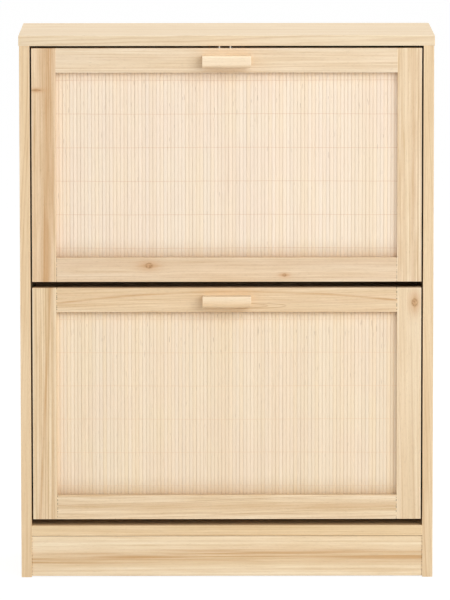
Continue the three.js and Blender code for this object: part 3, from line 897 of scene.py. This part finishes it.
def nail_head(bm, place):
    """A flat round nail head on a face that looks along +Y."""
    rings = []
    for size, level in ((1.0, -NAIL_ROOT), (1.0, NAIL_HEIGHT * 0.5), (0.8, NAIL_HEIGHT)):
        rings.append([
            Vector((
                place[0] + NAIL_RADIUS * size * math.cos(a),
                place[1] + level,
                place[2] + NAIL_RADIUS * size * math.sin(a),
            )) * MM
            for a in (math.tau * k / NAIL_SIDES for k in range(NAIL_SIDES))
        ])
    loft(bm, rings, smooth=False)


def screws(name, body, places, out, radius, height, root=0.3):
    """One piece of several screw heads that look the same way."""

    def build(bm):
        for place in places:
            screw_head(bm, place, out, radius, height, root)

    new_piece(name, body, STEEL, build)


BRACKET_REACH = 44  # from the pivot to the bracket's far edges, mm
BRACKET_SCREWS = ((37, -1), (-1, 37), (36, 36))  # y and z from the pivot, mm
BRACKET_SEAT = 1.0  # how deep those heads are seated
FLANGE_SCREWS = (60, 150, 240)  # heights over the door's lower edge
FLANGE_SCREW_X = 264
FLANGE_THICKNESS = 3.0

for prefix in DOORS:
    for side, sign in SIDES:
        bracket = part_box(f"{prefix}_bracket_{side}")
        inner = min(abs(bracket[0][0]), abs(bracket[1][0])) / MM
        pivot_y = bracket[1][1] / MM - BRACKET_REACH
        pivot_z = bracket[1][2] / MM - BRACKET_REACH
        screws(
            f"{prefix}_bracket_screws_{side}", "cabinet",
            [
                (sign * (inner + BRACKET_SEAT), pivot_y + y, pivot_z + z)
                for y, z in BRACKET_SCREWS
            ],
            (-sign, 0, 0), radius=1.95, height=0.6, root=0.5,
        )
        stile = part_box(f"{prefix}_stile_{side}")
        back = stile[1][1] / MM + FLANGE_THICKNESS
        base = stile[0][2] / MM
        screws(
            f"{prefix}_cheek_screws_{side}", f"{prefix}_door",
            [(sign * FLANGE_SCREW_X, back, base + z) for z in FLANGE_SCREWS],
            (0, 1, 0), radius=3.4, height=1.9,
        )


def build_nails(bm):
    """Nails down the back panels' sides, and along every rail and shelf behind them."""
    for panel in ("back_panel_lower", "back_panel_upper"):
        low, high = [[value / MM for value in corner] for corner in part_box(panel)]
        edge = high[0] - NAIL_EDGE
        rows = max(2, round((high[2] - low[2]) / NAIL_PITCH))
        length = high[2] - low[2] - 2 * NAIL_END
        for row in range(rows):
            z = low[2] + NAIL_END + length * row / (rows - 1)
            for x in (-edge, edge):
                nail_head(bm, (x, high[1], z))
    back_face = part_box("back_panel_lower")[1][1] / MM
    for rail in ("rear_foot_rail", "bottom_shelf", "middle_stretcher", "top_rear_rail"):
        low, high = [[value / MM for value in corner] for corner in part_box(rail)]
        for column in range(RAIL_NAILS):
            x = RAIL_NAIL_PITCH * (column - (RAIL_NAILS - 1) / 2)
            nail_head(bm, (x, back_face, (low[2] + high[2]) / 2))


new_piece("back_nails", "cabinet", STEEL, build_nails)


# ------------------------------------------------------------------ studio
FLOOR_REACH = 30.0
FLOOR_GREY = (0.7, 0.7, 0.7, 1.0)
FLOOR_GLOW = 1.22  # the floor's own light, so that it reads as white paper
FLOOR_GLOW_SHARE = 0.72
SKY_LOW = 0.99  # strength of the sky at the horizon
SKY_HIGH = 0.5  # and overhead
SKY_BAND = (0.05, 0.8)  # sine of the heights between which it changes
LAMPS = {
    "key": dict(place=(1.9, -3.6, 1.95), target=(0.0, -0.1, 0.45), size=2.8, power=75.0),
    "overhead": dict(place=(0.0, 0.7, 2.9), target=(0.0, 0.1, 0.79), size=1.6, power=24.0),
}


def build_floor():
    bm = bmesh.new()
    corners = [(-1, -1), (1, -1), (1, 1), (-1, 1)]
    bm.faces.new([bm.verts.new((x * FLOOR_REACH, y * FLOOR_REACH, 0.0)) for x, y in corners])
    mesh = bpy.data.meshes.new("studio_floor")
    bm.to_mesh(mesh)
    bm.free()
    floor = bpy.data.objects.new("studio_floor", mesh)
    bpy.context.scene.collection.objects.link(floor)
    material, g = new_material("studio_paper")
    paper = g.node("BsdfDiffuse")
    paper.inputs["Color"].default_value = FLOOR_GREY
    glow = g.node("Emission")
    glow.inputs["Color"].default_value = (1.0, 1.0, 1.0, 1.0)
    glow.inputs["Strength"].default_value = FLOOR_GLOW
    sight = g.node("LightPath")
    blend = g.node("MixShader")
    g.put(blend.inputs[0], Value(g, sight.outputs["Is Camera Ray"]) * FLOOR_GLOW_SHARE)
    g.tree.links.new(paper.outputs[0], blend.inputs[1])
    g.tree.links.new(glow.outputs[0], blend.inputs[2])
    output = g.node("OutputMaterial")
    g.tree.links.new(blend.outputs[0], output.inputs["Surface"])
    mesh.materials.append(material)


def build_world():
    world = bpy.data.worlds.new("studio_sky")
    world.use_nodes = True
    bpy.context.scene.world = world
    background = world.node_tree.nodes["Background"]
    background.inputs["Color"].default_value = (1.0, 1.0, 1.0, 1.0)
    g = Graph(world.node_tree)
    direction = Value(g, g.node("TexCoord").outputs["Generated"])
    rise = g.absolute(g.split(direction)[2])
    near_horizon = 1.0 - g.step(rise, *SKY_BAND)
    g.put(background.inputs["Strength"], SKY_HIGH + (SKY_LOW - SKY_HIGH) * near_horizon)


def area_lamp(name, place, target, size, power):
    lamp = bpy.data.lights.new(name, "AREA")
    lamp.shape = "SQUARE"
    lamp.size = size
    lamp.energy = power
    item = bpy.data.objects.new(name, lamp)
    item.location = place
    aim = Vector(target) - Vector(place)
    item.rotation_euler = aim.to_track_quat("-Z", "Y").to_euler()
    bpy.context.scene.collection.objects.link(item)


CAMERA_DISTANCE = 8.467  # m, from the front plane
CAMERA_HEIGHT = 1.449
CAMERA_SIDE = -0.027
CAMERA_PITCH = math.radians(7.02)
CAMERA_YAW = math.radians(0.165)
CAMERA_ROLL = math.radians(-0.046)
CAMERA_LENS = 353.66


def build_camera():
    data = bpy.data.cameras.new("studio_camera")
    data.lens = CAMERA_LENS
    data.sensor_width = 36.0
    data.clip_start, data.clip_end = 0.1, 100.0
    camera = bpy.data.objects.new("studio_camera", data)
    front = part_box("upper_rail_top")[0][1]
    camera.location = (CAMERA_SIDE, front - CAMERA_DISTANCE, CAMERA_HEIGHT)
    aim = Euler((math.pi / 2 - CAMERA_PITCH, 0.0, -CAMERA_YAW)).to_matrix()
    aim = aim @ Matrix.Rotation(CAMERA_ROLL, 3, "Z")
    camera.rotation_euler = aim.to_euler()
    bpy.context.scene.collection.objects.link(camera)
    bpy.context.scene.camera = camera


build_floor()
build_world()
for name, lamp in LAMPS.items():
    area_lamp(name, **lamp)
build_camera()
bpy.context.scene.view_settings.view_transform = "Standard"
